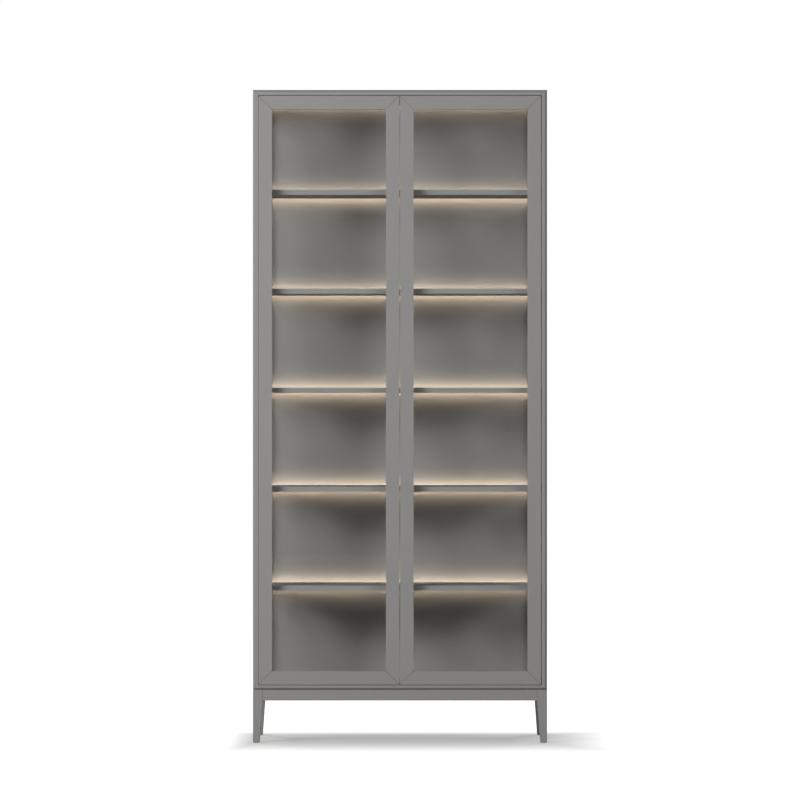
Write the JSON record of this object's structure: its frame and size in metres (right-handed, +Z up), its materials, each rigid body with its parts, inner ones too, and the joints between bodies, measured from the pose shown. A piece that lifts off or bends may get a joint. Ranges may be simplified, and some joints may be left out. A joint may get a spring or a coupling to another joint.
{
  "type": "glazed bookcase",
  "caption": "Tall cabinet on low tapered legs with glazed sides, and shelves lit from their rear edges behind a pair of hinged glass doors.",
  "frame": {"origin": "on the floor, under the middle of the cabinet's footprint", "axes": "+X to the right seen from the front, +Y from the doors to the back panel, +Z up"},
  "size_m": [1, 0.4, 2.22],
  "materials": {
    "lacquer": "warm grey satin-matt lacquer",
    "lacquer_inside": "warm grey satin-matt lacquer, inside",
    "bare_wood": "bare beech",
    "glass": "clear float glass",
    "steel": "zinc-plated steel",
    "aluminium": "anodised",
    "nylon": "natural nylon",
    "grey_plastic": "grey moulded plastic",
    "white_plastic": "white moulded plastic",
    "black_plastic": "black moulded plastic",
    "led_tape": "flexible tape with phosphor diodes",
    "lit_lens": "opal diffuser, lit warm white"
  },
  "bodies": {
    "cabinet": {"left_side_panel": "lacquer", "right_side_panel": "lacquer", "top_panel": "lacquer", "bottom_panel": "lacquer", "front_left_leg": "lacquer", "front_right_leg": "lacquer", "rear_left_leg": "lacquer", "rear_right_leg": "lacquer", "front_apron": "lacquer", "rear_apron": "lacquer", "left_apron": "lacquer", "right_apron": "lacquer", "back_panel": "lacquer_inside", "shelf_1": "lacquer_inside", "shelf_2": "lacquer_inside", "shelf_3": "lacquer_inside", "shelf_4": "lacquer_inside", "shelf_5": "lacquer_inside", "left_side_glass": "glass", "right_side_glass": "glass", "side_glass_beads": "lacquer", "shelf_pins": "steel", "dowels": "bare_wood", "corner_braces": "bare_wood", "brace_screws": "steel", "leg_glides": "nylon", "carcass_hinge_leaves": "steel", "hinge_pins": "steel", "hinge_washers": "black_plastic", "latch_housings": "grey_plastic", "light_channels": "aluminium", "light_tapes": "led_tape", "light_lenses": "lit_lens", "driver_case": "white_plastic", "driver_cover": "white_plastic", "driver_inlet": "black_plastic", "wall_plates": "steel", "wood_screws": "steel"},
    "left_door": {"left_door_top_rail": "lacquer", "left_door_bottom_rail": "lacquer", "left_door_hinge_stile": "lacquer", "left_door_meeting_stile": "lacquer", "left_door_glass": "glass", "left_door_glass_beads": "lacquer", "left_door_mitre_keys": "bare_wood", "left_door_hinge_leaves": "steel", "left_door_hinge_screws": "steel", "left_door_strike": "steel"},
    "left_plunger": {"left_latch_plunger": "nylon"},
    "right_door": {"right_door_top_rail": "lacquer", "right_door_bottom_rail": "lacquer", "right_door_hinge_stile": "lacquer", "right_door_meeting_stile": "lacquer", "right_door_glass": "glass", "right_door_glass_beads": "lacquer", "right_door_mitre_keys": "bare_wood", "right_door_hinge_leaves": "steel", "right_door_hinge_screws": "steel", "right_door_strike": "steel"},
    "right_plunger": {"right_latch_plunger": "nylon"}
  },
  "joints": [
    {"name": "left_door_hinge", "type": "hinge", "parent": "cabinet", "child": "left_door", "pos_m": [-0.468, -0.1954, 1.199], "axis": [0, 0, -1], "range_deg": [0, 110]},
    {"name": "right_door_hinge", "type": "hinge", "parent": "cabinet", "child": "right_door", "pos_m": [0.4664, -0.1954, 1.199], "axis": [0, 0, 1], "range_deg": [0, 110]},
    {"name": "left_plunger_slide", "type": "slide", "parent": "cabinet", "child": "left_plunger", "axis": [0, -1, 0], "range_m": [0, 0.02]},
    {"name": "right_plunger_slide", "type": "slide", "parent": "cabinet", "child": "right_plunger", "axis": [0, -1, 0], "range_m": [0, 0.02]}
  ],
  "couplings": [
    {"joint": "left_plunger_slide", "follows": "left_door_hinge", "m_per_rad": 0.0104},
    {"joint": "right_plunger_slide", "follows": "right_door_hinge", "m_per_rad": 0.0104}
  ]
}
